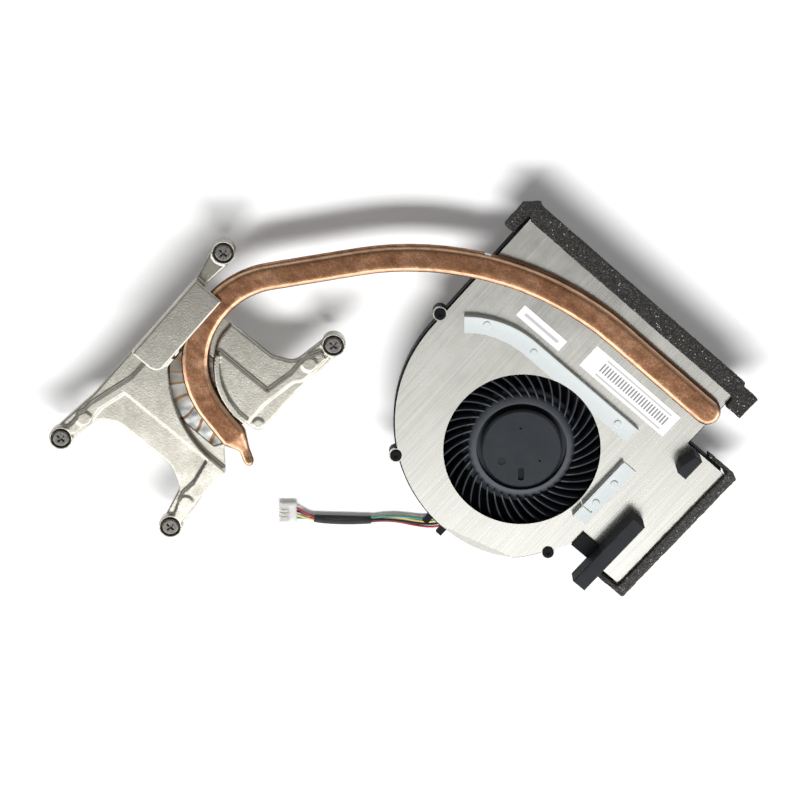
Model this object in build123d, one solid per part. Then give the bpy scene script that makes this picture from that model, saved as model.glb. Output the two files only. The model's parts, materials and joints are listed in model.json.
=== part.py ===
from build123d import *
from math import cos, radians, sin, tan
import os

# Laptop processor cooler: a radial fan with a ducted base, a flattened heat pipe that lies on
# the fan's cover above the fins, and a cast bracket that presses a copper plate on the chip.
# Millimetres.  The origin is on the rotor axis, on the underside of the fan base.  X runs along
# the rear mouth, Y points out of the rear mouth and Z points up.

# Fan housing
fan_height = 12.0          # underside of the base to the top of the cover
cover_t = 0.8
floor_t = 1.2
wall_t = 1.2
wall_inset = 1.6           # base wall inside the edge of the cover
rim_reach = 0.4            # base rim beyond the edge of the cover
rim_depth = 3.6
scroll_r = 38.7            # large arc of the scroll
scroll_x = -0.3
scroll_y = 9.5
tongue_r = 22.0            # small arc that closes the scroll
tongue_x = 3.0
tongue_end = -28.0
duct_x = 27.0              # the straight south edge of the side duct starts here
south_y = -10.6
side_x = 46.4
notch_x = 30.7             # inner corner between the two mouths
notch_y = 29.4
rear_y = 50.9
mouth_recess = 4.0         # the base ends this far inside the cover at both mouths
inlet_r = 20.25
flap_slope = 38.0
flap_start = 267.5         # the bend runs from this angle on the large arc
flap_end = -48.0           # to this angle on the small arc
lug_r = 1.85
lug_out = 0.75             # middle of a lug outside the edge of the cover
lug_north = 3.7            # west lug from the middle of the large arc
lug_angle = 234.2          # lug on the large arc
lug_tongue_angle = -23.6   # lug beside the small arc
lug_screw_r = 0.7
lug_screw_l = 5.0
lug_head_r = 1.5
lug_head_t = 0.6
lug_recess_r = 0.5
lug_recess_depth = 0.35
screw_gap = 0.05

# Rotor and motor
hub_r = 10.5
hub_wall = 1.0
hub_drop = 0.7             # top of the hub below the top of the cover
hub_skirt = 1.6            # lower edge of the hub above the floor
groove_r = 11.65
cone_r = 14.25
cone_top = 9.6
cone_low = 6.4
blade_count = 41
blade_t = 0.4
blade_root = 13.7
blade_tip_gap = 1.2        # blade tips inside the south wall
blade_sweep = 29.0
blade_lead = 0.5            # share of the sweep that the blade has at its middle
blade_top_gap = 1.0
blade_floor_gap = 1.3
shaft_r = 0.75
shaft_gap = 0.03
bush_wall = 1.2
boss_wall = 0.9
fit_gap = 0.05
yoke_t = 0.6
magnet_t = 1.3
air_gap = 0.4
stator_t = 3.0
stator_lift = 2.0          # stator above the motor board
pole_count = 6
pole_w = 1.7
shoe_t = 0.9
coil_wall = 0.7
board_t = 0.8
board_r = 9.0
washer_t = 0.4
mark_depth = 0.5           # marks in the cap of the hub
pin_marks = [(-4.0, 4.0), (5.6, 0.7)]
pin_mark_r = 0.3
wide_mark = (-1.8, -5.8)
wide_mark_r = 1.05
slot_mark = (4.4, -5.2)
slot_mark_l = 3.4
slot_mark_w = 1.6
slot_mark_angle = 131.0

# Fins
fin_pitch = 1.4
fin_t = 0.22
fin_depth = 12.0
fin_gap = 0.4
fin_setback = 0.4          # fin fronts behind the rear end of the base

# Heat pipe
pipe_w = 7.3
pipe_t = 2.9
pipe_y = 39.2
pipe_tip = 31.8
pipe_turns = [(-40.7, 39.2), (-84.4, -14.4), (-82.5, -40.5), (-58.0, -45.7)]
pipe_radii = [80.0, 23.0, 21.5]
crimp_l = 4.2
nipple_l = 3.4
nipple_r = 1.25

# Bracket on the chip
cpu_x = -73.2
cpu_y = -42.7
cpu_span_x = 36.4
cpu_span_y = 64.8
web_t = 1.2                # sheet under the pipe
low_t = 0.9                # lower level above the pipe seat
high_t = 2.3               # raised ribs above the pipe seat
lip_t = 3.0                # lip along the inner side of the pipe's bend, above the seat
plate_west = 19.2          # west edge from the middle of the chip
strap_t = 1.2
strap_w = 8.3
strap_edge = 0.3           # strap inside the west edge
strap_south = -2.4         # south end of the strap from the middle of the chip
strap_north = 9.5          # north end of the strap short of the north screws
strap_wall = 1.6           # wall beside the pipe under the strap, short of the channel
channel_gap = 0.4
spreader_w = 29.0
spreader_t = 1.2
spreader_gap = 0.15
boss_r = 3.05
boss_t = 2.3               # boss top above the pipe seat
bore_r = 2.6               # pocket for the screw head
bore_depth = 1.4
ejector_r = 1.9
ejector_t = 0.15
cpu_screw_r = 1.0
cpu_neck_r = 0.8           # shank relieved between the head and the clip
cpu_screw_gap = 0.1
cpu_screw_l = 8.0          # shank below the head
cpu_head_r = 2.15
cpu_head_t = 1.55
cross_w = 0.55
cross_l = 2.4
cross_depth = 0.8
clip_r = 2.0
clip_t = 0.4
clip_gap = 0.3

# Pieces on the cover
strip_t = 0.4
strip_w = 4.7
strip_y = 21.7
strip_x0 = -17.0
strip_x1 = 18.5
strip_bend_r = 24.7
strip_bend = 42.0
strip_flange = 2.2
strip_inlet_gap = 0.2
short_x = 21.3
short_y0 = -4.2
short_y1 = 15.0
short_slit_y = -0.6
short_slit_w = 0.5
dimple_r = 0.95
dimple_t = 0.4
long_dimples = [(-29.0, 18.9), (-15.2, 21.4), (13.6, 21.5)]
short_dimples = [(24.0, 8.9), (23.9, 2.0)]
label_t = 0.12
label_small_box = (-25.2, -10.7, 25.7, 29.1)
label_large_box = (-4.3, 24.7, 26.5, 33.3)
stop_h = 6.0
stop_box = (32.4, 36.4, -16.6, 6.5)
stop_round = 0.35
foot_l = 5.5
foot_w = 4.4
foot_y = -8.3
foot_t = 0.9
pad_points = [(35.3, 22.9), (35.3, 29.2), (33.0, 29.2), (31.8, 24.6), (32.6, 22.9)]

# Foam seals
foam_t = 2.0
rear_foam_w = 4.8
rear_foam_over = 0.3       # overhang past the edge of the cover
rear_end_l = 5.2
rear_end_w = 7.1
return_l = 10.5
return_t = 3.3
return_low = 6.8
return_fold = 3.2          # the seal is folded round the corner, not square
side_foam_w = 3.4
side_foam_over = 0.5
side_chamfer = 0.9
side_return_l = 9.5
side_return_t = 1.7        # south return
side_return_thin = 1.0     # north return

# Fan lead
wire_r = 0.3
wire_pitch = 0.66          # between the wires of the bundle in the sleeve
ribbon_pitch = 0.74        # between the wires side by side at the fan
sleeve_r = 1.06
sleeve_bore = 0.94
lead_points = [
    (0.4, -27.2, 1.9), (0.2, -30.9, 1.7), (-3.1, -34.5, 1.2), (-10.6, -39.0, 1.1),
    (-16.0, -44.9, 1.1), (-22.4, -50.4, 1.1), (-26.9, -53.3, 1.1), (-30.3, -54.5, 1.1),
]
ribbon_share = (1.0, 1.0, 1.0, 0.5, 0.0, 0.0, 0.0)     # how far the wires lie side by side there
bundle_share = (0.0, 0.0, 0.0, 0.8, 1.0, 1.0, 1.0)     # how far they lie in two rows there
sleeve_span = (3.53, 5.62) # where the sleeve starts and ends, counted in runs of the lead
plug_turn = 221.0          # heading of the plug's nose
plug_stagger = 0.3         # the wires leave the plug in two rows this far apart
plug_l = 4.6
plug_w = 5.4
plug_h = 2.0
plug_pitch = 1.0
contact_w = 0.4
contact_l = 2.4
hook_w = 1.7
hook_reach = 2.2
hook_drop = 2.4
hooks = [-5.4, -0.6]

# Heights that follow from the sizes above
cover_z = fan_height - cover_t
rim_z = cover_z - rim_depth
mouth_y = rear_y - mouth_recess
mouth_x = side_x - mouth_recess
pipe_z = fan_height
web_z = pipe_z - web_t
strap_z = pipe_z + pipe_t
board_z = floor_t + board_t
stator_z = board_z + stator_lift
hub_z = fan_height - hub_drop
cap_z = hub_z - hub_wall
skirt_z = floor_t + hub_skirt
tongue_y = scroll_y - scroll_r + tongue_r
blade_tip = scroll_r - scroll_y - wall_inset - wall_t - blade_tip_gap
bush_r = shaft_r + shaft_gap + bush_wall
motor_boss_r = bush_r + fit_gap + boss_wall
yoke_r = hub_r - hub_wall - fit_gap
magnet_r = yoke_r - yoke_t - fit_gap
stator_r = magnet_r - magnet_t - air_gap
cpu_screws = [
    (cpu_x + sx * cpu_span_x / 2, cpu_y + sy * cpu_span_y / 2)
    for sx, sy in ((-1, 1), (-1, -1), (1, -1), (1, 1))
]
UP = (0, 0, 1)


def slab(face, low, high):
    """A flat face raised into a plate between two heights."""
    return Pos(0, 0, low) * extrude(face, amount=high - low, dir=UP)


def rod(radius, low, high, at=(0, 0)):
    """A vertical cylinder."""
    return Pos(at[0], at[1], (low + high) / 2) * Cylinder(radius, high - low)


def tube(outer, inner, low, high, at=(0, 0)):
    """A vertical pipe."""
    return rod(outer, low, high, at) - rod(inner, low, high, at)


def block(x0, x1, y0, y1, low, high):
    """A box between two corners."""
    return Pos((x0 + x1) / 2, (y0 + y1) / 2, (low + high) / 2) * Box(x1 - x0, y1 - y0, high - low)


def polar(centre, radius, angle):
    """A point on a circle."""
    return (centre[0] + radius * cos(radians(angle)), centre[1] + radius * sin(radians(angle)))


lugs = [
    (scroll_x - scroll_r - lug_out, scroll_y + lug_north),
    polar((scroll_x, scroll_y), scroll_r + lug_out, lug_angle),
    polar((tongue_x, tongue_y), tongue_r + lug_out, lug_tongue_angle),
]


def polygon(points):
    """A flat face with straight sides."""
    return make_face(Polyline(*points, close=True))


def on_chip(points):
    """Points given from the middle of the chip."""
    return [(cpu_x + u, cpu_y + v) for u, v in points]


def save(shape, node):
    """Writes one piece."""
    export_step(shape, f"parts/{node}.step")


# Plan of the housing, grown outwards everywhere but at the two mouths

def housing_face(grow):
    west = scroll_x - scroll_r - grow
    south = scroll_y - scroll_r - grow
    scroll = (scroll_x, scroll_y)
    tongue = (tongue_x, tongue_y)
    tip = polar(tongue, tongue_r + grow, tongue_end)
    tongue_mid = polar(tongue, tongue_r + grow, (tongue_end - 90) / 2)
    edges = [
        Line((west, rear_y), (west, scroll_y)),
        ThreePointArc((west, scroll_y), polar(scroll, scroll_r + grow, 225), (scroll_x, south)),
        Line((scroll_x, south), (tongue_x, south)),
        ThreePointArc((tongue_x, south), tongue_mid, tip),
        Polyline(
            tip, (duct_x, south_y - grow), (side_x, south_y - grow), (side_x, notch_y + grow),
            (notch_x + grow, notch_y + grow), (notch_x + grow, rear_y), (west, rear_y),
        ),
    ]
    return make_face(edges)


# The part of the plan that is bent down at the tongue, outside a straight chord

def flap_face(grow):
    south = scroll_y - scroll_r - grow
    tongue = (tongue_x, tongue_y)
    end = polar(tongue, tongue_r + grow, flap_end)
    mid = polar(tongue, tongue_r + grow, (flap_end - 90) / 2)
    scroll = (scroll_x, scroll_y)
    start = polar(scroll, scroll_r + grow, flap_start)
    lead_in = polar(scroll, scroll_r + grow, (flap_start + 270) / 2)
    edges = [
        ThreePointArc(start, lead_in, (scroll_x, south)),
        Line((scroll_x, south), (tongue_x, south)),
        ThreePointArc((tongue_x, south), mid, end),
        Polyline(end, *flap_chord()[::-1], start) if grow else Line(end, start),
    ]
    return make_face(edges)


def flap_chord():
    start = polar((scroll_x, scroll_y), scroll_r, flap_start)
    return [start, polar((tongue_x, tongue_y), tongue_r, flap_end)]


def flap_plane():
    """The outer face of the bent flap."""
    (x0, y0), (x1, y1) = flap_chord()
    along = Vector(x1 - x0, y1 - y0, 0).normalized()
    outward = Vector(along.Y, -along.X, 0)
    normal = outward * sin(radians(flap_slope)) + Vector(0, 0, cos(radians(flap_slope)))
    return Plane(origin=(x0, y0, fan_height), x_dir=along, z_dir=normal)


reach = 4 * scroll_r       # larger than the whole housing


def make_cover():
    plan = housing_face(0) - flap_face(0)
    for at in lugs:
        plan += Pos(*at) * Circle(lug_r)
    plan -= Circle(inlet_r)
    for at in lugs:
        plan -= Pos(*at) * Circle(lug_screw_r + screw_gap)
    sheet = flap_plane() * Pos(0, 0, -cover_t / 2) * Box(reach, reach, cover_t)
    flap = slab(flap_face(0), 0, fan_height) & sheet
    return slab(plan, cover_z, fan_height) + flap


def make_base():
    inside = housing_face(-wall_inset - wall_t)
    body = slab(housing_face(-wall_inset), 0, cover_z)
    body += slab(housing_face(rim_reach), rim_z, cover_z)
    for at in lugs:
        body += rod(lug_r, rim_z, cover_z, at)
    body -= slab(inside, floor_t, cover_z)
    body &= block(-reach, mouth_x, -reach, mouth_y, 0, cover_z)
    over_flap = flap_plane() * Pos(0, 0, reach / 2 - cover_t) * Box(reach, reach, reach)
    body -= slab(flap_face(rim_reach + cover_t), floor_t, fan_height) & over_flap
    for at in lugs:
        body -= rod(lug_screw_r + screw_gap, cover_z - lug_screw_l, cover_z, at)
    body += tube(motor_boss_r, bush_r + fit_gap, floor_t, stator_z + stator_t)
    rim_south = scroll_y - scroll_r - rim_reach
    for x in hooks:
        hook = block(x - hook_w / 2, x + hook_w / 2, rim_south - hook_reach, rim_south + rim_reach,
                     cover_z - hook_drop, cover_z - cover_t)
        body += hook
    exit_x = lead_points[0][0]
    slot_w = 3 * ribbon_pitch + 4 * wire_r
    slot_h = 4 * wire_r
    body -= block(exit_x - slot_w / 2, exit_x + slot_w / 2, rim_south, -blade_tip, floor_t, floor_t + slot_h)
    return body


def make_cover_screws():
    top = fan_height + lug_head_t
    head = fillet(rod(lug_head_r, fan_height, top).edges().group_by(Axis.Z)[-1], lug_head_t / 3)
    head -= rod(lug_recess_r, top - lug_recess_depth, top)
    screw = head + rod(lug_screw_r, cover_z - lug_screw_l + screw_gap, fan_height)
    return Compound(children=[Pos(x, y, 0) * screw for x, y in lugs])


# Rotor

def make_impeller():
    chamfer_l = hub_wall / 2
    groove_z = cone_low + hub_wall
    cone_w = cone_r - groove_r
    crest = (groove_r, cone_top)
    crown = (groove_r + 0.7 * cone_w, cone_top - 0.25 * cone_w)
    foot = (cone_r, cone_top - 0.8 * cone_w)
    profile = [
        Polyline((0, cap_z), (0, hub_z), (hub_r - chamfer_l, hub_z), (hub_r, hub_z - chamfer_l), (hub_r, groove_z),
                 (groove_r, groove_z), crest),
        ThreePointArc(crest, crown, foot),
        Polyline(foot, (cone_r, cone_low), (hub_r, cone_low), (hub_r, skirt_z), (hub_r - hub_wall, skirt_z),
                 (hub_r - hub_wall, cap_z), (0, cap_z)),
    ]
    hub = revolve(Plane.XZ * make_face(profile), axis=Axis.Z)
    for at in pin_marks:
        hub -= rod(pin_mark_r, hub_z - mark_depth, hub_z, at)
    hub -= rod(wide_mark_r, hub_z - mark_depth / 3, hub_z, wide_mark)
    slot = Pos(*slot_mark) * Rot(0, 0, slot_mark_angle) * SlotOverall(slot_mark_l, slot_mark_w)
    hub -= slab(slot, hub_z - mark_depth, hub_z)
    low = floor_t + blade_floor_gap
    high = cover_z - blade_top_gap
    blade = slab(blade_face(), low, high)
    return hub + [Rot(0, 0, step * 360 / blade_count) * blade for step in range(blade_count)]


def blade_face():
    """Plan of one backward-swept blade, an arc with a constant thickness."""
    half = blade_t / 2
    mid_r = (blade_root + blade_tip) / 2

    def side(sign):
        root = (blade_root, sign * half)
        mid = polar((0, 0), mid_r, blade_sweep * blade_lead)
        tip = polar((0, 0), blade_tip, blade_sweep)
        lean = radians(blade_sweep * 1.9)
        shift = (-sign * half * sin(lean), sign * half * cos(lean))
        mid_shift = (shift[0] / 2, sign * half)
        return [root, (mid[0] + mid_shift[0], mid[1] + mid_shift[1]), (tip[0] + shift[0], tip[1] + shift[1])]

    left = side(1)
    right = side(-1)
    edges = [ThreePointArc(*left), Line(left[2], right[2]), ThreePointArc(*right), Line(right[0], left[0])]
    return make_face(edges)


def make_yoke():
    cup = rod(yoke_r, skirt_z, cap_z) - rod(yoke_r - yoke_t, skirt_z, cap_z - yoke_t)
    return cup - rod(shaft_r + fit_gap, skirt_z, cap_z)


def make_magnet():
    return tube(magnet_r, magnet_r - magnet_t, skirt_z, stator_z + stator_t + board_t)


def make_shaft():
    shaft = rod(shaft_r, floor_t + washer_t, cap_z)
    return chamfer(shaft.edges().group_by(Axis.Z)[0], shaft_r / 3)


def make_bush():
    bush = tube(bush_r, shaft_r + shaft_gap, floor_t + washer_t, stator_z + stator_t)
    return chamfer(bush.edges().group_by(Axis.Z)[-1], shaft_gap * 3)


# Motor

def make_stator():
    bore = motor_boss_r + fit_gap
    core = Circle(bore + shoe_t)
    for step in range(pole_count):
        core += Rot(0, 0, step * 360 / pole_count) * Pos(stator_r / 2, 0) * Rectangle(stator_r, pole_w)
    half_gap = pole_w / 4
    ring = Circle(stator_r) - Circle(stator_r - shoe_t)
    for step in range(pole_count):
        ring -= Rot(0, 0, (step + 0.5) * 360 / pole_count) * Pos(stator_r, 0) * Rectangle(stator_r, 2 * half_gap)
    core = (core & Circle(stator_r - shoe_t / 2)) + ring - Circle(bore)
    return slab(core, stator_z, stator_z + stator_t)


def make_coils():
    inner = motor_boss_r + fit_gap + shoe_t
    outer = stator_r - shoe_t
    gap = fit_gap
    coil = block(inner + 2 * coil_wall / 3, outer - gap, -pole_w / 2 - coil_wall, pole_w / 2 + coil_wall,
                 stator_z - coil_wall, stator_z + stator_t + coil_wall)
    coil = fillet(coil.edges().filter_by(Axis.X), coil_wall / 2)
    coil &= rod(outer - gap, 0, fan_height)
    coil -= block(0, stator_r, -pole_w / 2 - gap, pole_w / 2 + gap, stator_z - gap, stator_z + stator_t + gap)
    turns = [Rot(0, 0, step * 360 / pole_count) * coil for step in range(pole_count)]
    return Compound(children=turns)


def make_board():
    return tube(board_r, motor_boss_r + fit_gap, floor_t, board_z)


# Fins: one folded channel per pitch, each foot and top reaching the next fin

def fin_span():
    west = scroll_x - scroll_r + wall_inset + wall_t + fin_gap
    east = notch_x - wall_inset - wall_t - fin_gap
    return west, east


def make_fins():
    west, east = fin_span()
    count = int((east - west) / fin_pitch)
    front = mouth_y - fin_setback
    back = front - fin_depth
    plate = block(0, fin_t, back, front, floor_t, cover_z)
    plate += block(fin_t, fin_pitch, back, front, floor_t, floor_t + fin_t)
    plate += block(fin_t, fin_pitch, back, front, cover_z - fin_t, cover_z)
    start = (west + east - count * fin_pitch) / 2
    return Compound(children=[Pos(start + step * fin_pitch, 0, 0) * plate for step in range(count)])


# Heat pipe

def pipe_heading():
    """Heading of the pipe's last straight run."""
    (x0, y0), (x1, y1) = pipe_turns[-2:]
    return Vector(x1 - x0, y1 - y0, 0).normalized()


def pipe_sweep(section, start_x, longer=0.0):
    """A section carried along the pipe, from its straight end past its other end."""
    end = Vector(*pipe_turns[-1]) + pipe_heading() * longer
    lift = Pos(0, 0, pipe_z + pipe_t / 2)
    path = lift * FilletPolyline((start_x, pipe_y), *pipe_turns[:-1], (end.X, end.Y), radius=pipe_radii)
    plane = Plane(origin=(start_x, pipe_y, pipe_z + pipe_t / 2), x_dir=(0, 1, 0), z_dir=(-1, 0, 0))
    return sweep(plane * section, path=path, transition=Transition.ROUND)


def make_pipe():
    round_end = pipe_tip - pipe_w / 2
    pipe = pipe_sweep(SlotOverall(pipe_w, pipe_t), round_end)
    half_end = make_face([
        Line((0, 0), (pipe_w / 2 - pipe_t / 2, 0)),
        ThreePointArc((pipe_w / 2 - pipe_t / 2, 0), (pipe_w / 2, pipe_t / 2), (pipe_w / 2 - pipe_t / 2, pipe_t)),
        Polyline((pipe_w / 2 - pipe_t / 2, pipe_t), (0, pipe_t), (0, 0)),
    ])
    end = revolve(Plane(origin=(round_end, pipe_y, pipe_z), x_dir=(1, 0, 0), z_dir=(0, -1, 0)) * half_end,
                  axis=Axis((round_end, pipe_y, 0), UP))
    pipe += end
    return pipe + make_crimp()


def make_crimp():
    """The pinched end of the pipe and the bead that seals it."""
    heading = pipe_heading()
    start = Vector(*pipe_turns[-1], pipe_z + pipe_t / 2)
    lean = heading.rotate(Axis.Z, -18)
    neck = start + heading * crimp_l
    bead = neck + lean * nipple_l
    side = Vector(-heading.Y, heading.X, 0)
    wide = Plane(origin=start, x_dir=side, z_dir=heading) * SlotOverall(pipe_w, pipe_t)
    slim = Plane(origin=neck, x_dir=Vector(-lean.Y, lean.X, 0), z_dir=lean) * SlotOverall(
        2.4 * nipple_r, pipe_t * 0.6)
    taper = loft([wide.faces()[0], slim.faces()[0]])
    stem = extrude(slim, amount=nipple_l, dir=lean)
    ball = Pos(bead.X, bead.Y, bead.Z) * Sphere(nipple_r)
    return taper + stem + ball


# Bracket

def leg(sx, sy, du, dv):
    """A point given from one screw, counted from the middle of the chip."""
    return (sx * cpu_span_x / 2 + du, sy * cpu_span_y / 2 + dv)


bracket_outline = [
    (-plate_west, cpu_span_y / 2 - 8.4), (-plate_west, -17.8), leg(-1, -1, -2.7, 0.9), leg(-1, -1, 2.6, 1.2),
    (-14.2, -22.5), (-9.2, -19.8), (8.0, -19.8), (13.4, -22.6), leg(1, -1, -2.8, 1.2), leg(1, -1, 2.7, 0.8),
    (19.0, -19.0), (19.7, -12.0), (14.8, -6.9), (14.8, 1.6), (19.4, 1.7), (19.4, 16.7), leg(1, 1, 2.8, -1.2),
    leg(1, 1, -2.7, -1.0), (13.8, 22.2), (8.6, 19.6), (-4.2, 19.4), (-16.1, 19.4), (-16.1, 23.0),
    leg(-1, 1, 3.0, -1.2), leg(-1, 1, -2.7, -1.0),
]
bracket_radii = [
    0.5, 6.0, 0.3, 0.3, 4.5, 4.5, 4.5, 4.5, 0.3, 0.3, 4.0, 0.8, 0.8, 0.5, 2.4, 6.0, 0.3, 0.3, 3.5,
    4.0, 0.8, 0.8, 0.8, 0.3, 0.3,
]
rib_left = [
    leg(-1, -1, -0.4, 3.2), (-18.3, -20.4), (-14.8, -8.1), (-14.6, 3.0), (-8.8, 3.0), (3.0, -7.0), (14.4, -7.2),
    (19.5, -12.1), (18.9, -19.0), leg(1, -1, 1.4, 3.0), leg(1, -1, -1.2, 3.0), (14.8, -23.6), (15.2, -19.4),
    (13.9, -12.3), (-13.6, -12.3), (-15.6, -19.6), leg(-1, -1, 2.8, 7.4), leg(-1, -1, 2.0, 3.0),
]
rib_right = [
    (-2.6, 12.0), (13.4, 12.0), (15.0, 19.4), leg(1, 1, -3.3, -7.4), leg(1, 1, -1.2, -3.4), leg(1, 1, 1.0, -3.8),
    (18.6, 20.4), (16.8, 18.2), (15.0, 8.2), (15.0, 2.8), (9.0, 2.8), (0.0, 8.0),
]
lip_inner = [(-2.7, 10.8), (2.9, 4.7), (14.8, 1.6)]
lip_outer = [(14.6, 3.0), (4.0, 5.9), (-1.8, 11.6)]
ejectors = [leg(-1, -1, 1.2, 8.0), leg(1, -1, -1.1, 7.6), leg(1, 1, -1.4, -7.8)]
low_ejector = (17.5, 3.6)


def window_face(grow):
    """The crescent opening in the bracket beside and under the pipe."""
    edges = [
        Line(*on_chip([(-9.6, 9.1), (-9.6, 0.6)])),
        ThreePointArc(*on_chip([(-9.6, 0.6), (-2.6, -6.1), (3.0, -8.8)])),
        Polyline(*on_chip([(3.0, -8.8), (13.0, -8.8), (14.0, -7.0), (13.6, 1.0), (12.4, 1.6)])),
        ThreePointArc(*on_chip([(12.4, 1.6), (3.4, 4.1), (-2.1, 9.1)])),
        Line(*on_chip([(-2.1, 9.1), (-9.6, 9.1)])),
    ]
    face = make_face(edges)
    return offset(face, amount=grow) if grow else face


def seat_face():
    """The flat under the pipe, from the rib on its outer side to the lip on its inner side."""
    edges = [
        Polyline(*on_chip([(-9.8, 9.5), (-9.0, 24.0), (-4.6, 24.0), (-4.6, 16.0)])),
        ThreePointArc(*on_chip([(-4.6, 16.0), (-4.0, 13.2), lip_inner[0]])),
        ThreePointArc(*on_chip(lip_inner)),
        Polyline(*on_chip([lip_inner[-1], (20.0, 1.6), (20.0, -11.5), (13.1, -11.4)])),
        ThreePointArc(*on_chip([(13.1, -11.4), (0.6, -7.8), (-9.8, 0.4)])),
        Line(*on_chip([(-9.8, 0.4), (-9.8, 9.5)])),
    ]
    return make_face(edges)


def lip_face():
    """Plan of the lip that guides the inner side of the pipe's bend."""
    edges = [
        ThreePointArc(*on_chip(lip_inner)),
        Line(*on_chip([lip_inner[-1], lip_outer[0]])),
        ThreePointArc(*on_chip(lip_outer)),
        Line(*on_chip([lip_outer[-1], lip_inner[0]])),
    ]
    return make_face(edges)


def channel():
    """The room that the pipe takes in the bracket."""
    return pipe_sweep(Rectangle(pipe_w + 2 * channel_gap, pipe_t), 0, crimp_l)


def make_bracket():
    outline = make_face(FilletPolyline(*on_chip(bracket_outline), radius=bracket_radii, close=True))
    body = slab(outline, web_z, pipe_z + low_t)
    for rib in (rib_left, rib_right):
        body += slab(polygon(on_chip(rib)), web_z, pipe_z + high_t)
    for at in cpu_screws:
        body += rod(boss_r, web_z, pipe_z + boss_t, at)
    for at in on_chip(ejectors):
        body += rod(ejector_r, web_z, pipe_z + high_t + ejector_t, at)
    body += rod(ejector_r * 0.7, web_z, pipe_z + low_t + ejector_t, *on_chip([low_ejector]))
    strap_x0 = cpu_x - plate_west + strap_edge
    strap_y0 = cpu_y + strap_south
    strap_y1 = cpu_y + cpu_span_y / 2 - strap_north
    wall_x = pipe_turns[2][0] - pipe_w / 2 - 2 * channel_gap - strap_wall
    body += block(strap_x0, wall_x, strap_y0, strap_y1, web_z, strap_z)
    body -= slab(seat_face(), pipe_z, strap_z)
    body += slab(lip_face(), pipe_z, pipe_z + lip_t)
    body -= slab(window_face(0), web_z, pipe_z)
    body -= channel()
    strap = block(strap_x0, strap_x0 + strap_w, strap_y0, strap_y1, strap_z, strap_z + strap_t)
    corner = strap.edges().filter_by(Axis.Z).group_by(Axis.X)[-1].sort_by(Axis.Y)[0]
    body += fillet(corner, strap_t * 2)
    for at in cpu_screws:
        body -= rod(bore_r, pipe_z + boss_t - bore_depth, strap_z, at)
        body -= rod(cpu_screw_r + cpu_screw_gap, web_z, strap_z, at)
    return body


def make_spreader():
    low = web_z - spreader_t
    plate = Pos(cpu_x, cpu_y) * RectangleRounded(spreader_w, spreader_w, 2 * spreader_t)
    return slab(plate, low, web_z) + slab(window_face(-spreader_gap), low, pipe_z)


# Captive screws: head in the pocket of its boss, and a clip under the boss

def screw_seat():
    return pipe_z + boss_t - bore_depth


def make_cpu_screw(at):
    seat = screw_seat()
    head = rod(cpu_head_r, seat, seat + cpu_head_t)
    head = fillet(head.edges().group_by(Axis.Z)[-1], cpu_head_t / 4)
    thread_top = web_z - clip_gap - clip_t
    thread = rod(cpu_screw_r, seat - cpu_screw_l, thread_top)
    thread = chamfer(thread.edges().group_by(Axis.Z)[0], cpu_screw_r / 3)
    shank = thread + rod(cpu_neck_r, thread_top, seat)
    top = seat + cpu_head_t
    cross = block(-cross_l / 2, cross_l / 2, -cross_w / 2, cross_w / 2, top - cross_depth, top)
    screw = head + shank - cross - Rot(0, 0, 90) * cross
    return Pos(at[0], at[1], 0) * screw


def make_clip(at):
    high = web_z - clip_gap
    clip = tube(clip_r, cpu_neck_r + fit_gap, high - clip_t, high)
    clip -= block(0, clip_r, -cpu_neck_r / 2, cpu_neck_r / 2, high - clip_t, high)
    return Pos(at[0], at[1], 0) * clip


# Pieces on the cover

def dimple(at):
    button = rod(dimple_r, fan_height + strip_t, fan_height + strip_t + dimple_t, at)
    return fillet(button.edges().group_by(Axis.Z)[-1], dimple_t / 2)


def strip_plan(inner, outer):
    """Plan of the long strip between two distances from the centre of its bend."""
    centre = (strip_x0, strip_y - strip_bend_r)
    straight = Pos((strip_x0 + strip_x1) / 2, centre[1] + (inner + outer) / 2) * Rectangle(
        strip_x1 - strip_x0, outer - inner)
    end = 90 + strip_bend
    mid = 90 + strip_bend / 2
    bend = make_face([
        ThreePointArc(polar(centre, outer, 90), polar(centre, outer, mid), polar(centre, outer, end)),
        Line(polar(centre, outer, end), polar(centre, inner, end)),
        ThreePointArc(polar(centre, inner, end), polar(centre, inner, mid), polar(centre, inner, 90)),
        Line(polar(centre, inner, 90), polar(centre, outer, 90)),
    ])
    return straight + bend


def make_long_strip():
    inner = strip_bend_r - strip_w / 2
    outer = strip_bend_r + strip_w / 2
    strip = slab(strip_plan(inner, outer), fan_height, fan_height + strip_t)
    strip += slab(strip_plan(outer - strip_t, outer), fan_height, fan_height + strip_flange)
    strip -= rod(inlet_r + strip_inlet_gap, fan_height, fan_height + strip_flange)
    for at in long_dimples:
        strip += dimple(at)
    return strip


def make_short_strip():
    east = short_x + strip_w
    strip = block(short_x, east, short_y0, short_y1, fan_height, fan_height + strip_t)
    strip += block(short_x, short_x + strip_t, short_y0, short_y1, fan_height, fan_height + strip_flange)
    strip -= block(short_x, short_x + 0.75 * strip_w, short_slit_y - short_slit_w / 2,
                   short_slit_y + short_slit_w / 2, fan_height, fan_height + strip_flange)
    for at in short_dimples:
        strip += dimple(at)
    return strip


def make_label(box):
    return block(*box, fan_height, fan_height + label_t)


def make_stop():
    bar = block(*stop_box, fan_height, fan_height + stop_h)
    return fillet(bar.edges().group_by(Axis.Z)[-1], stop_round)


def make_foot():
    x1 = stop_box[0]
    return block(x1 - foot_l, x1, foot_y - foot_w / 2, foot_y + foot_w / 2, fan_height, fan_height + foot_t)


def make_pad():
    pad = slab(polygon(pad_points), fan_height, fan_height + stop_h)
    return fillet(pad.edges().group_by(Axis.Z)[-1], stop_round)


# Foam seals

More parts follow.
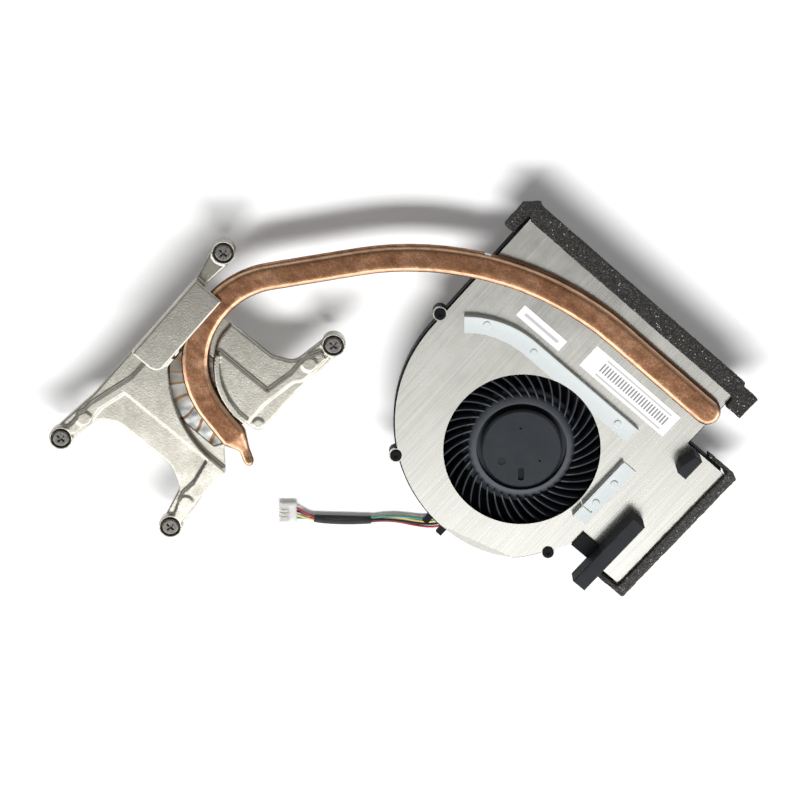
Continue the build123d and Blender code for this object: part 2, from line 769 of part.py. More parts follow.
def make_rear_foam():
    west = scroll_x - scroll_r
    out = west - rim_reach
    top = fan_height + foam_t
    south = rear_y - rear_foam_w
    north = rear_y + rear_foam_over
    foam = block(west, notch_x, south, north, fan_height, top)
    foam += block(notch_x, notch_x + rear_end_l, north - 1 - rear_end_w, north - 1, cover_z, top)
    corner = block(out - return_t, west, mouth_y, north, return_low, top)
    fold = corner.edges().filter_by(Axis.Z).group_by(Axis.X)[0].sort_by(Axis.Y)[-1]
    foam += chamfer(fold, return_fold)
    foam += block(out - return_t, out, north - return_l, north - return_fold, return_low, cover_z)
    return foam


def make_side_foam():
    top = fan_height + foam_t * 0.8
    west = side_x + side_foam_over - side_foam_w
    east = side_x + side_foam_over
    low_y = south_y - rim_reach
    high_y = notch_y + rim_reach
    foam = block(west, east, south_y, notch_y, fan_height, top)
    south = low_y - side_return_t
    north = high_y + side_return_thin
    foam += block(max(west, mouth_x), east, south, south_y, return_low, top)
    foam += block(max(west, mouth_x), east, notch_y, north, return_low, top)
    foam += block(east - side_return_l, east, south, low_y, return_low, top)
    foam += block(east - side_return_l, east, high_y, north, return_low, cover_z)
    outer = foam.edges().filter_by(Axis.Y).group_by(Axis.Z)[-1].group_by(Axis.X)[-1]
    return chamfer(outer, side_chamfer)


# Fan lead: four wires side by side at the fan and two by two in the sleeve, and a plug

def plug_heading():
    return Vector(cos(radians(plug_turn)), sin(radians(plug_turn)), 0)


def wire_route(lane, level, pin):
    """Route of one wire beside the middle line of the lead, spread at its plug."""
    points = [Vector(*p) for p in lead_points]
    route = []
    for i, point in enumerate(points[:-1]):
        ahead = points[i + 1] - point
        behind = point - points[i - 1] if i else ahead
        a = Vector(ahead.X, ahead.Y, 0).normalized()
        b = Vector(behind.X, behind.Y, 0).normalized()
        along = (a + b).normalized()
        side = Vector(-along.Y, along.X, 0) * (1 / a.dot(along))
        spread = ribbon_share[i] * pin * ribbon_pitch + (1 - ribbon_share[i]) * lane * wire_pitch / 2
        lift = bundle_share[i] * level * wire_pitch / 2
        route.append(point + side * spread + Vector(0, 0, lift))
    heading = plug_heading()
    across = Vector(-heading.Y, heading.X, 0)
    end = points[-1] + heading * wire_r + across * (pin * plug_pitch)
    route.append(end + Vector(0, 0, level * plug_stagger / 2))
    return route


def corner_radii(points):
    """Each arc takes 0.45 of the shorter run beside its corner."""
    radii = []
    for before, corner, after in zip(points, points[1:], points[2:]):
        run_in = corner - before
        run_out = after - corner
        half_turn = radians(run_in.get_angle(run_out)) / 2
        radii.append(0.45 * min(run_in.length, run_out.length) / tan(half_turn))
    return radii


def cord(points, radii, radius, bore=0.0):
    path = FilletPolyline(*points, radius=radii)
    plane = Plane(origin=points[0], z_dir=points[1] - points[0])
    section = Circle(radius) - Circle(bore) if bore else Circle(radius)
    solid = sweep(plane * section, path=path, transition=Transition.ROUND)
    print("cord length", round(path.length, 2), "radii", [round(r, 1) for r in radii],
          "volume ratio", round(solid.volume / (section.area * path.length), 4))
    return solid


# Side of the bundle, row of the bundle and place in the plug
wires = [(-1, 1, -1.5), (-1, -1, -0.5), (1, 1, 1.5), (1, -1, 0.5)]


def make_sleeve():
    points = [Vector(*p) for p in lead_points]
    radii = corner_radii(points)
    ends = []
    for place in sleeve_span:
        run = int(place)
        ends.append(points[run] + (points[run + 1] - points[run]) * (place - run))
    first = int(sleeve_span[0]) + 1
    last = int(sleeve_span[1])
    inside = points[first:last + 1]
    return cord([ends[0], *inside, ends[1]], radii[first - 1:last], sleeve_r, sleeve_bore)


def make_wire(lane, level, pin):
    route = wire_route(lane, level, pin)
    behind_face = plug_place() * block(0, plug_l, -plug_w, plug_w, 0, plug_h)
    return cord(route, corner_radii(route), wire_r) - behind_face


def plug_place():
    rear = Vector(*lead_points[-1])
    return Plane(origin=(rear.X, rear.Y, 0), x_dir=plug_heading(), z_dir=UP)


def contact_box(step, grow):
    y = (step - 1.5) * plug_pitch
    half = contact_w / 2 + grow
    return block(plug_l - contact_l - grow, plug_l + grow, y - half, y + half,
                 plug_h / 2 - contact_w - grow, plug_h + grow)


def make_plug():
    body = block(0, plug_l, -plug_w / 2, plug_w / 2, 0, plug_h)
    body = fillet(body.edges().filter_by(Axis.X), plug_h / 8)
    for step in range(4):
        body -= contact_box(step, fit_gap)
    return plug_place() * body


def make_contacts():
    pins = []
    for step in range(4):
        pin = contact_box(step, 0)
        pin &= block(0, plug_l - contact_w, -plug_w, plug_w, 0, plug_h - contact_w / 2)
        pins.append(plug_place() * pin)
    return Compound(children=pins)


pieces = {
    "fan_base": make_base(),
    "fan_cover": make_cover(),
    "cover_screws": make_cover_screws(),
    "impeller": make_impeller(),
    "rotor_yoke": make_yoke(),
    "rotor_magnet": make_magnet(),
    "rotor_shaft": make_shaft(),
    "bearing_bush": make_bush(),
    "thrust_washer": rod(bush_r, floor_t, floor_t + washer_t),
    "stator_core": make_stator(),
    "stator_coils": make_coils(),
    "motor_board": make_board(),
    "fin_stack": make_fins(),
    "heat_pipe": make_pipe(),
    "cpu_bracket": make_bracket(),
    "spreader_plate": make_spreader(),
    "guide_strip_long": make_long_strip(),
    "guide_strip_short": make_short_strip(),
    "label_small": make_label(label_small_box),
    "label_large": make_label(label_large_box),
    "stop_bar": make_stop(),
    "stop_foot": make_foot(),
    "corner_pad": make_pad(),
    "rear_foam_seal": make_rear_foam(),
    "side_foam_seal": make_side_foam(),
    "wire_sleeve": make_sleeve(),
    "plug_housing": make_plug(),
    "plug_contacts": make_contacts(),
}
for number, at in enumerate(cpu_screws, start=1):
    pieces[f"cpu_screw_{number}"] = make_cpu_screw(at)
    pieces[f"screw_clip_{number}"] = make_clip(at)
for number, wire in enumerate(wires, start=1):
    pieces[f"fan_wire_{number}"] = make_wire(*wire)

os.makedirs("parts", exist_ok=True)
for node, shape in pieces.items():
    save(shape, node)
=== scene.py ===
import json
from math import cos, pi, radians, sin

import bpy
from mathutils import Matrix, Vector, noise


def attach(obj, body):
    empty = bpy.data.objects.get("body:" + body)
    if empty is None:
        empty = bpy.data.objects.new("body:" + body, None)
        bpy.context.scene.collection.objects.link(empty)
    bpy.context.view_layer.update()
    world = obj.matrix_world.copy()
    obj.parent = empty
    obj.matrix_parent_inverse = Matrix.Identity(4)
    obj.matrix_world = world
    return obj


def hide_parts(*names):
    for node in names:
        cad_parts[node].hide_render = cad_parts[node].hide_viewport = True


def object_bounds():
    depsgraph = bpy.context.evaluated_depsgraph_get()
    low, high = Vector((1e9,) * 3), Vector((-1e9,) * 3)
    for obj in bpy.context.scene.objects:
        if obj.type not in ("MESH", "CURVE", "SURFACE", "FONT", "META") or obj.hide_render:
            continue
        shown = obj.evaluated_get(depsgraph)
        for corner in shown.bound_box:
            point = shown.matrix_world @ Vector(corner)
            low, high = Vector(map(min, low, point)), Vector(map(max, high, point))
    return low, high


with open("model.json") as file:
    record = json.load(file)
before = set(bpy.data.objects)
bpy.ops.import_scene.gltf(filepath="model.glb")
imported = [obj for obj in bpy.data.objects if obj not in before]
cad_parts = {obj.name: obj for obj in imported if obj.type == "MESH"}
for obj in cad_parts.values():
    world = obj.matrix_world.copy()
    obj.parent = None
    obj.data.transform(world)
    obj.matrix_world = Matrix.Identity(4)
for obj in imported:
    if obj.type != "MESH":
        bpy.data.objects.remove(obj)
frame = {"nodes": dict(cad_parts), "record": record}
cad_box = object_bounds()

MM = 0.001
nodes = frame["nodes"]
scene = bpy.context.scene


# Camera of the photograph: the view is nearly from above, tilted a little and turned
CAMERA_TILT = radians(16.842)
TILT_HEADING = radians(-91.07)
CAMERA_TURN = radians(-41.227)
CAMERA_SHIFT = (31.421 * MM, -9.377 * MM)
CAMERA_DISTANCE = 628.8 * MM
CAMERA_CLIP = (0.01, 20)
FOCAL_PIXELS = 2400
PICTURE_PIXELS = 800
SENSOR = 36.0

tilt_axis = Vector((sin(TILT_HEADING), -cos(TILT_HEADING), 0))
to_camera = Matrix.Rotation(-CAMERA_TILT, 3, tilt_axis) @ Matrix.Rotation(CAMERA_TURN, 3, "Z")
from_camera = to_camera.transposed()
picture_up = from_camera @ Vector((0, 1, 0))

camera = bpy.data.objects.new("camera", bpy.data.cameras.new("camera"))
scene.collection.objects.link(camera)
camera.data.sensor_width = SENSOR
camera.data.lens = SENSOR * FOCAL_PIXELS / PICTURE_PIXELS
camera.data.clip_start, camera.data.clip_end = CAMERA_CLIP
place = from_camera @ Vector((-CAMERA_SHIFT[0], -CAMERA_SHIFT[1], CAMERA_DISTANCE))
camera.matrix_world = Matrix.Translation(place) @ from_camera.to_4x4()
scene.camera = camera


# Fan lead: the middle line of the lead, and how far its wires lie side by side or in two rows
WIRE_R = 0.3 * MM
WIRE_PITCH = 0.66 * MM
RIBBON_PITCH = 0.74 * MM
PLUG_PITCH = 1.0 * MM
PLUG_STAGGER = 0.3 * MM
PLUG_TURN = radians(221)
LEAD_POINTS = [
    (0.0004, -0.0272, 0.0019), (0.0002, -0.0309, 0.0017), (-0.0031, -0.0345, 0.0012), (-0.0106, -0.0390, 0.0011),
    (-0.0160, -0.0449, 0.0011), (-0.0224, -0.0504, 0.0011), (-0.0269, -0.0533, 0.0011), (-0.0303, -0.0545, 0.0011),
]
RIBBON_SHARE = (1.0, 1.0, 1.0, 0.5, 0.0, 0.0, 0.0)
BUNDLE_SHARE = (0.0, 0.0, 0.0, 0.8, 1.0, 1.0, 1.0)
BUNDLE_TURN = [radians(a) for a in (0, 0, 0, 0, 60, 120, 180)]     # the bundle turns over inside the sleeve
# Side and row of the bundle at the fan, place in the flat run there, and real length
WIRES = [(-1, 1, -1.5, 0.0424), (-1, -1, -0.5, 0.0426), (1, 1, 0.5, 0.0435), (1, -1, 1.5, 0.0431)]
WIRE_SLOTS = ("wire_green", "wire_yellow", "wire_black", "wire_red")


def wire_route(lane, level, rank):
    """Control points of one wire beside the middle line of the lead."""
    points = [Vector(p) for p in LEAD_POINTS]
    route = []
    for i, point in enumerate(points[:-1]):
        ahead = (points[i + 1] - point).to_2d().normalized()
        behind = (point - points[i - 1]).to_2d().normalized() if i else ahead
        along = (ahead + behind).normalized()
        side = Vector((-along.y, along.x, 0)) / ahead.dot(along)
        turn = BUNDLE_TURN[i]
        aside = (lane * cos(turn) - level * sin(turn)) * WIRE_PITCH / 2
        above = (lane * sin(turn) + level * cos(turn)) * WIRE_PITCH / 2
        spread = RIBBON_SHARE[i] * rank * RIBBON_PITCH + (1 - RIBBON_SHARE[i]) * aside
        route.append(point + side * spread + Vector((0, 0, BUNDLE_SHARE[i] * above)))
    heading = Vector((cos(PLUG_TURN), sin(PLUG_TURN), 0))
    across = Vector((-heading.y, heading.x, 0))
    route.append(points[-1] - across * (rank * PLUG_PITCH) - Vector((0, 0, level * PLUG_STAGGER / 2)))
    return route


def smooth_curve(name, points, radius):
    """A round cord on one NURBS spline.  Its points carry its radius, so that the curve's box is true."""
    data = bpy.data.curves.new(name, "CURVE")
    data.dimensions = "3D"
    data.bevel_depth = 1 if radius else 0
    data.bevel_resolution = 5
    data.use_fill_caps = True
    spline = data.splines.new("NURBS")
    spline.points.add(len(points) - 1)
    for target, point in zip(spline.points, points):
        target.co = (*point, 1)
        target.radius = radius
    spline.order_u = 3
    spline.use_endpoint_u = True
    spline.resolution_u = 16
    made = bpy.data.objects.new(name, data)
    scene.collection.objects.link(made)
    return made


def line_of(points):
    """Points along a NURBS spline that has the given control points."""
    guide = smooth_curve("guide", points, 0)
    mesh = bpy.data.meshes.new_from_object(guide)
    line = [v.co.copy() for v in mesh.vertices]
    bpy.data.objects.remove(guide)
    bpy.data.meshes.remove(mesh)
    return line


def mesh_piece(name, verts, faces, smooth=True):
    """A mesh object from its points and faces."""
    mesh = bpy.data.meshes.new(name)
    mesh.from_pydata(verts, [], faces)
    mesh.update()
    for polygon in mesh.polygons:
        polygon.use_smooth = smooth
    made = bpy.data.objects.new(name, mesh)
    scene.collection.objects.link(made)
    return made


SLEEVE_R = 1.05 * MM
SLEEVE_WALL = 0.12 * MM
SLEEVE_FROM = 0.525         # where it starts and ends, as shares of the lead
SLEEVE_TO = 0.885
SLEEVE_SIDES = 28
RIPPLE_SHARE = 0.02         # of the radius
RIPPLES_PER_METRE = 900


def make_sleeve():
    """A soft tube on the middle line of the lead, slightly uneven, with open ends."""
    line = line_of(LEAD_POINTS)
    total = sum((b - a).length for a, b in zip(line, line[1:]))
    sides = SLEEVE_SIDES
    turns = [2 * pi * k / sides for k in range(sides)]
    rings = []
    run = 0.0
    for i, point in enumerate(line):
        if i:
            run += (point - line[i - 1]).length
        if SLEEVE_FROM * total <= run <= SLEEVE_TO * total:
            ahead = line[min(i + 1, len(line) - 1)] - line[max(i - 1, 0)]
            side = Vector((-ahead.y, ahead.x, 0)).normalized()
            up = ahead.cross(side).normalized() * -1
            ripple = 1 + RIPPLE_SHARE * noise.noise(Vector((run * RIPPLES_PER_METRE, 0, 0)))
            rings.append((point, side, up, SLEEVE_R * ripple))

    def ring(centre, side, up, radius):
        return [centre + (side * cos(turn) + up * sin(turn)) * radius for turn in turns]

    inner = [ring(p, s, u, r - SLEEVE_WALL) for p, s, u, r in (rings[0], rings[-1])]
    loops = [inner[0]] + [ring(*r) for r in rings] + [inner[1]]
    verts = [v for loop in loops for v in loop]
    faces = []
    for row in range(len(loops) - 1):
        for k in range(sides):
            n = (k + 1) % sides
            faces.append((row * sides + k, row * sides + n, (row + 1) * sides + n, (row + 1) * sides + k))
    last = len(loops) - 1
    faces += [(last * sides + k, last * sides + (k + 1) % sides, (k + 1) % sides, k) for k in range(sides)]
    return mesh_piece("lead_sleeve", verts, faces)


sleeve = make_sleeve()
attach(sleeve, "housing")
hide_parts("wire_sleeve")

wire_pieces = {}
for number, (slot, (lane, level, rank, length)) in enumerate(zip(WIRE_SLOTS, WIRES), start=1):
    route = wire_route(lane, level, rank)
    wire = smooth_curve(f"lead_wire_{number}", route, WIRE_R)
    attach(wire, "housing")
    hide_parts(f"fan_wire_{number}")
    wire_pieces[slot] = wire


# Shader helpers
BEVEL_SAMPLES = 6
surfaces = {}


def add(tree, kind, inputs=None, **settings):
    """A shader node; an input that is a socket is linked."""
    made = tree.nodes.new(kind)
    for name, value in settings.items():
        setattr(made, name, value)
    for key, value in (inputs or {}).items():
        if isinstance(value, bpy.types.NodeSocket):
            tree.links.new(value, made.inputs[key])
        else:
            made.inputs[key].default_value = value
    return made


def fill_ramp(ramp, stops):
    """Sets the colours along a ramp, as (place, colour)."""
    while len(ramp.elements) < len(stops):
        ramp.elements.new(0.5)
    for element, (spot, colour) in zip(ramp.elements, stops):
        element.position = spot
        element.color = (*colour, 1)


class Surface:
    """A Principled material, kept under its name, with textures in millimetres of the piece's own frame."""

    def __init__(self, name, **sockets):
        self.material = bpy.data.materials.new(name)
        self.material.use_nodes = True
        self.tree = self.material.node_tree
        self.shader = self.tree.nodes["Principled BSDF"]
        self.where = add(self.tree, "ShaderNodeTexCoord").outputs["Object"]
        for key, value in sockets.items():
            self.set(key.replace("_", " "), value)
        surfaces[name] = self.material

    def set(self, socket, value):
        """Sets or links a socket of the shader."""
        target = self.shader.inputs[socket]
        if isinstance(value, bpy.types.NodeSocket):
            self.tree.links.new(value, target)
        else:
            target.default_value = value

    def grain(self, size, detail=4.0, roughness=0.55, along=(1, 1, 1), offset=0.0):
        """Noise whose grains are about size millimetres, longer along an axis by a factor."""
        scale = [1 / (size * MM * a) for a in along]
        mapped = add(self.tree, "ShaderNodeMapping", {"Vector": self.where, "Scale": scale,
                                                      "Location": (offset, offset, offset)})
        made = add(self.tree, "ShaderNodeTexNoise", {"Vector": mapped.outputs[0], "Scale": 1.0, "Detail": detail,
                                                     "Roughness": roughness})
        return made.outputs[0]

    def cells(self, size):
        """Distance to the nearest of points scattered about size millimetres apart."""
        mapped = add(self.tree, "ShaderNodeVectorMath", {0: self.where, "Scale": 1 / (size * MM)}, operation="SCALE")
        made = add(self.tree, "ShaderNodeTexVoronoi", {"Vector": mapped.outputs[0], "Scale": 1.0}, feature="F1")
        return made.outputs["Distance"]

    def span(self, value, low, high, to_low=0.0, to_high=1.0):
        """A value's place in a range, mapped to another range."""
        made = add(self.tree, "ShaderNodeMapRange", {"Value": value, "From Min": low, "From Max": high,
                                                     "To Min": to_low, "To Max": to_high})
        return made.outputs[0]

    def math(self, operation, *values):
        """The result of one operation on values."""
        made = add(self.tree, "ShaderNodeMath", dict(enumerate(values)), operation=operation)
        return made.outputs[0]

    def weighed(self, *parts):
        """The sum of values, each times its weight."""
        scaled = [self.math("MULTIPLY", value, weight) for value, weight in parts]
        total = scaled[0]
        for value in scaled[1:]:
            total = self.math("ADD", total, value)
        return total

    def tint(self, factor, *stops):
        """Colours along a ramp, as (place, colour)."""
        made = add(self.tree, "ShaderNodeValToRGB", {"Fac": factor})
        fill_ramp(made.color_ramp, stops)
        return made.outputs[0]

    def mix(self, factor, first, second):
        """From one colour to another by a factor."""
        made = add(self.tree, "ShaderNodeMix", {"Factor": factor}, data_type="RGBA")
        for key, value in ((6, first), (7, second)):
            if isinstance(value, bpy.types.NodeSocket):
                self.tree.links.new(value, made.inputs[key])
            else:
                made.inputs[key].default_value = (*value, 1)
        return made.outputs[2]

    def relief(self, height, depth, round_edges=0.0):
        """Bump of a depth in millimetres, over edges that look rounded."""
        inputs = {"Height": height, "Distance": depth * MM, "Strength": 1.0}
        if round_edges:
            bevel = add(self.tree, "ShaderNodeBevel", {"Radius": round_edges * MM}, samples=BEVEL_SAMPLES)
            inputs["Normal"] = bevel.outputs[0]
        self.set("Normal", add(self.tree, "ShaderNodeBump", inputs).outputs[0])

    def place(self, x=0.0, y=0.0):
        """Millimetres from a point of the plan, as X, Y and Z."""
        moved = add(self.tree, "ShaderNodeVectorMath", {0: self.where, 1: (-x * MM, -y * MM, 0)}, operation="ADD")
        scaled = add(self.tree, "ShaderNodeVectorMath", {0: moved.outputs[0], "Scale": 1 / MM}, operation="SCALE")
        return add(self.tree, "ShaderNodeSeparateXYZ", {0: scaled.outputs[0]}).outputs

    def radius(self, x=0.0, y=0.0):
        """Distance in the plan from a point, in millimetres."""
        at = self.place(x, y)
        squares = [self.math("MULTIPLY", at[axis], at[axis]) for axis in (0, 1)]
        return self.math("SQRT", self.math("ADD", *squares))

    def within(self, value, low, high, soft=0.05):
        """One between two limits, with soft ends."""
        rise = self.span(value, low - soft, low + soft)
        fall = self.span(value, high + soft, high - soft)
        return self.math("MULTIPLY", rise, fall)


# Materials.  Places are in millimetres of the plan.
BRUSH_LENGTH = 60           # brush lines and scratches are so many times longer than wide
SCRATCH_LENGTH = 90
SCATTER_DEPTH = 4.0 * MM
DUST_COLOUR = (0.55, 0.55, 0.53)
DUSTY_R = (22.0, 24.0)      # the tray is dusty inside this radius
SPLASH = (-41.6, 33.8)      # solder on the pipe
SOLDER_COLOUR = (0.78, 0.76, 0.70)
PAINTED_HIGHLIGHT_FACING = (0.74, 0.985)     # upward part of the normal on the pipe's rounded edges, where a painted highlight goes
# paler copper for the rounded edges: a painted highlight, partly wear
WORN_AND_HIGHLIT_COPPER = (0.80, 0.51, 0.33)
CASTING_MIDDLE = (-76.0, -38.0)
CASTING_BOW = 0.0004        # the cast faces crown a little: fall in millimetres by distance squared
SKIN_DEPTH = 0.02
WORN_FOAM_X = (40.0, 43.0)  # the foam is paler east of here
BEND_MIDDLE = (-69.2, -33.7)
PATCHES_PER_RADIAN = 180 / pi / 15  # a patch is 15 degrees of the bend
TIN_BRIGHTENS = (-7.3, -6.6)    # patches round the bend, from dull tin to bright
SEAM_COLOUR = (0.27, 0.16, 0.08)
HUB_EDGE = (11.0, 11.4)     # radii where the hub cap meets its ring, and the ring its blades
RING_EDGE = (15.3, 15.8)
RING_GLOSS_EDGE = (14.6, 15.4)
ROUND_MARK = (-1.8, -5.8)
LONG_MARK = (4.4, -5.2)
LONG_MARK_TURN = radians(131)
LONG_MARK_HALF = (1.6, 0.75)
MARK_COLOUR = (0.003, 0.003, 0.004)
STRIPES_X = (0.4, 22.6)     # stripes on the large label
BARS_Y = (28.7, 31.2)
BAR_PITCH = 0.9
LOW_RULE_Y = (27.3, 27.75)
HIGH_RULE_Y = (31.9, 32.3)
SMALL_RULE_X = (-23.6, -12.4)   # the stripe on the small label
SMALL_RULE_Y = (27.0, 27.8)
INK_COLOUR = (0.10, 0.10, 0.11)


def brushed(name, light, dark, rough, streak, metal, stain, edges=0.12):
    """Sheet metal with fine brush lines along Y, a few scratches and soft smears, which are placed so that they are
    partly painted shade.
    """
    s = Surface(name, Metallic=metal)
    lines = s.grain(streak, 2, 0.5, along=(1, BRUSH_LENGTH, 1))
    # smears, shifted to where the sheet should look darker: partly real smears, partly painted shade
    smear_and_shade = s.grain(20, 3, 0.5, along=(1, 1.8, 1), offset=29.0)
    spots = s.grain(3.5, 4, 0.6, offset=8.0)
    haze_and_shade = s.weighed((smear_and_shade, 0.7), (spots, 0.3))
    tone = s.weighed((lines, 1 - stain), (haze_and_shade, stain))
    scratch = s.span(s.grain(0.5, 2, 0.5, along=(1, SCRATCH_LENGTH, 1), offset=6.0), 0.68, 0.74)
    sheet = s.tint(tone, (0.25, dark), (0.75, light))
    s.set("Base Color", s.mix(s.math("MULTIPLY", scratch, 0.35), sheet, light))
    s.set("Roughness", s.span(haze_and_shade, 0.3, 0.7, rough - 0.05, rough + 0.07))
    s.relief(lines, 0.003, edges)


def moulded(name, colour, rough, grain=0.12, depth=0.012, edges=0.12, dust=0.0, spread=0.35, gloss=0.5,
            scatter=0.0):
    """Moulded plastic or rubber with a fine grain and, where it has any, dust."""
    s = Surface(name, Specular_IOR_Level=gloss, Subsurface_Weight=scatter, Subsurface_Scale=SCATTER_DEPTH,
                Subsurface_Radius=(1, 1, 1))
    fine = s.grain(grain, 3)
    cloud = s.grain(6, 3, offset=5.0)
    dark = [c * (1 - spread) for c in colour]
    light = [min(1.0, c * (1 + spread)) for c in colour]
    body = s.tint(cloud, (0.3, dark), (0.7, light))
    if dust:
        specks = s.span(s.cells(1.1), 0.10, 0.04)
        rare = s.span(s.grain(2.6, 1, offset=9.0), 0.58, 0.64)
        body = s.mix(s.math("MULTIPLY", s.math("MULTIPLY", specks, rare), dust), body, DUST_COLOUR)
    s.set("Base Color", body)
    s.set("Roughness", s.span(cloud, 0.3, 0.7, rough - 0.06, rough + 0.06))
    s.relief(fine, depth, edges)


def bright_metal(name, light, dark, rough):
    """Plain metal with a mottled tone."""
    s = Surface(name, Metallic=1.0)
    mottle = s.grain(0.5, 5, 0.6)
    s.set("Base Color", s.tint(mottle, (0.3, dark), (0.7, light)))
    s.set("Roughness", s.span(mottle, 0.3, 0.7, rough - 0.06, rough + 0.06))
    s.relief(mottle, 0.01, 0.1)


brushed("cover_sheet", (0.71, 0.705, 0.655), (0.535, 0.53, 0.49), 0.24, 0.35, metal=0.95, stain=0.35, edges=0)
brushed("strip_steel", (0.66, 0.70, 0.695), (0.60, 0.64, 0.635), 0.42, 0.25, metal=0.1, stain=0.6)
moulded("stop_rubber", (0.022, 0.024, 0.027), 0.66, dust=0.8, gloss=0.3)
moulded("foot_plastic", (0.006, 0.007, 0.008), 0.55, gloss=0.2)
moulded("plug", (0.92, 0.915, 0.89), 0.45, spread=0.03, scatter=1.0)
moulded("washer", (0.80, 0.80, 0.78), 0.5, spread=0.05)
moulded("board", (0.03, 0.16, 0.07), 0.4)
moulded("magnet", (0.06, 0.06, 0.06), 0.6)
moulded("sleeve", (0.030, 0.030, 0.032), 0.52, grain=0.4, depth=0.02, edges=0, gloss=0.3)
moulded("wire_green", (0.10, 0.30, 0.27), 0.40, edges=0)
moulded("wire_yellow", (0.62, 0.52, 0.16), 0.40, edges=0)
moulded("wire_red", (0.36, 0.04, 0.06), 0.40, edges=0)
moulded("wire_black", (0.012, 0.012, 0.014), 0.38, edges=0)
moulded("black_screw", (0.006, 0.006, 0.007), 0.46, grain=0.3, gloss=0.12)
bright_metal("steel", (0.30, 0.29, 0.27), (0.11, 0.105, 0.098), 0.34)
bright_metal("bronze", (0.55, 0.36, 0.16), (0.38, 0.24, 0.10), 0.5)
bright_metal("winding", (0.60, 0.28, 0.11), (0.40, 0.16, 0.05), 0.35)
bright_metal("fin", (0.80, 0.80, 0.80), (0.62, 0.62, 0.62), 0.38)
bright_metal("contact", (0.72, 0.69, 0.62), (0.50, 0.47, 0.41), 0.3)


def base_surface():
    """Black moulded tray, greyer with dust where the air runs past the blades."""
    s = Surface("base_plastic", Specular_IOR_Level=0.12)
    cloud = s.grain(6, 3, offset=5.0)
    dust = s.grain(0.8, 4, 0.6)
    clean = s.tint(cloud, (0.3, (0.008, 0.008, 0.009)), (0.7, (0.016, 0.016, 0.017)))
    dusty = s.tint(dust, (0.3, (0.12, 0.127, 0.145)), (0.7, (0.20, 0.212, 0.235)))
    s.set("Base Color", s.mix(s.span(s.radius(), *DUSTY_R), dusty, clean))
    s.set("Roughness", s.span(cloud, 0.3, 0.7, 0.44, 0.56))
    s.relief(s.grain(0.12, 3), 0.012, 0.12)


def copper_surface():
    """Dull copper: brown tarnish in clouds and streaks, fine pits, a painted highlight on the rounded edges that is
    partly wear, and one splash of solder.
    """
    s = Surface("copper", Metallic=0.92)
    cloud = s.grain(11, 5, 0.62)
    stain = s.grain(1.8, 4, 0.65, along=(2.2, 1, 1), offset=6.0)
    speck = s.grain(0.6, 4, 0.7, offset=2.0)
    tone = s.weighed((cloud, 0.36), (stain, 0.28), (speck, 0.36))
    body = s.tint(tone, (0.36, (0.115, 0.050, 0.025)), (0.50, (0.285, 0.138, 0.072)), (0.64, (0.50, 0.285, 0.175)))
    normal = add(s.tree, "ShaderNodeNewGeometry").outputs["Normal"]
    facing = add(s.tree, "ShaderNodeSeparateXYZ", {0: normal}).outputs[2]
    # the rounded edges turn paler: a painted highlight, patchy with the tarnish streaks as wear
    highlight_edge = s.within(facing, *PAINTED_HIGHLIGHT_FACING, soft=0.01)
    lightened = s.mix(s.math("MULTIPLY", highlight_edge, s.span(stain, 0.3, 0.55, 0.5, 1.0)), body, WORN_AND_HIGHLIT_COPPER)
    blot = s.math("ADD", s.radius(*SPLASH), s.math("MULTIPLY", s.grain(1.2, 2, offset=1.0), 2.4))
    s.set("Base Color", s.mix(s.span(blot, 2.3, 2.0), lightened, SOLDER_COLOUR))
    s.set("Roughness", s.span(tone, 0.36, 0.64, 0.36, 0.22))
    s.relief(speck, 0.012)


def cast_surface():
    """Die-cast alloy: warm grey, cloudy, with a fine pitted skin."""
    s = Surface("cast_alloy", Metallic=0.9)
    cloud = s.grain(5, 5, 0.62)
    skin = s.grain(0.5, 4, 0.6, offset=4.0)
    tone = s.weighed((cloud, 0.7), (skin, 0.3))
    s.set("Base Color", s.tint(tone, (0.30, (0.41, 0.392, 0.337)), (0.55, (0.57, 0.552, 0.486)),
                               (0.75, (0.69, 0.672, 0.607))))
    s.set("Roughness", s.span(cloud, 0.3, 0.7, 0.25, 0.19))
    bow = s.math("MULTIPLY", s.math("POWER", s.radius(*CASTING_MIDDLE), 2.0), -CASTING_BOW / SKIN_DEPTH)
    s.relief(s.math("ADD", skin, bow), SKIN_DEPTH)


def foam_surface():
    """Open-cell foam: charcoal, with dark pits, paler cell walls and bright specks."""
    s = Surface("foam", Roughness=0.9)
    walls = s.cells(0.38)
    cloud = s.grain(0.55, 4, 0.7)
    lightened = s.span(s.place()[0], *WORN_FOAM_X, 0.0, 0.09)
    tone = s.weighed((walls, 0.45), (cloud, 0.6))
    base = s.tint(s.math("ADD", tone, lightened),
                  (0.36, (0.010, 0.010, 0.010)), (0.54, (0.032, 0.031, 0.029)), (0.76, (0.100, 0.098, 0.092)))
    specks = s.span(s.cells(0.7), 0.26, 0.16)
    rare = s.span(s.grain(1.0, 2, offset=7.0), 0.54, 0.58)
    s.set("Base Color", s.mix(s.math("MULTIPLY", specks, rare), base, (0.52, 0.52, 0.50)))
    s.relief(walls, 0.2)


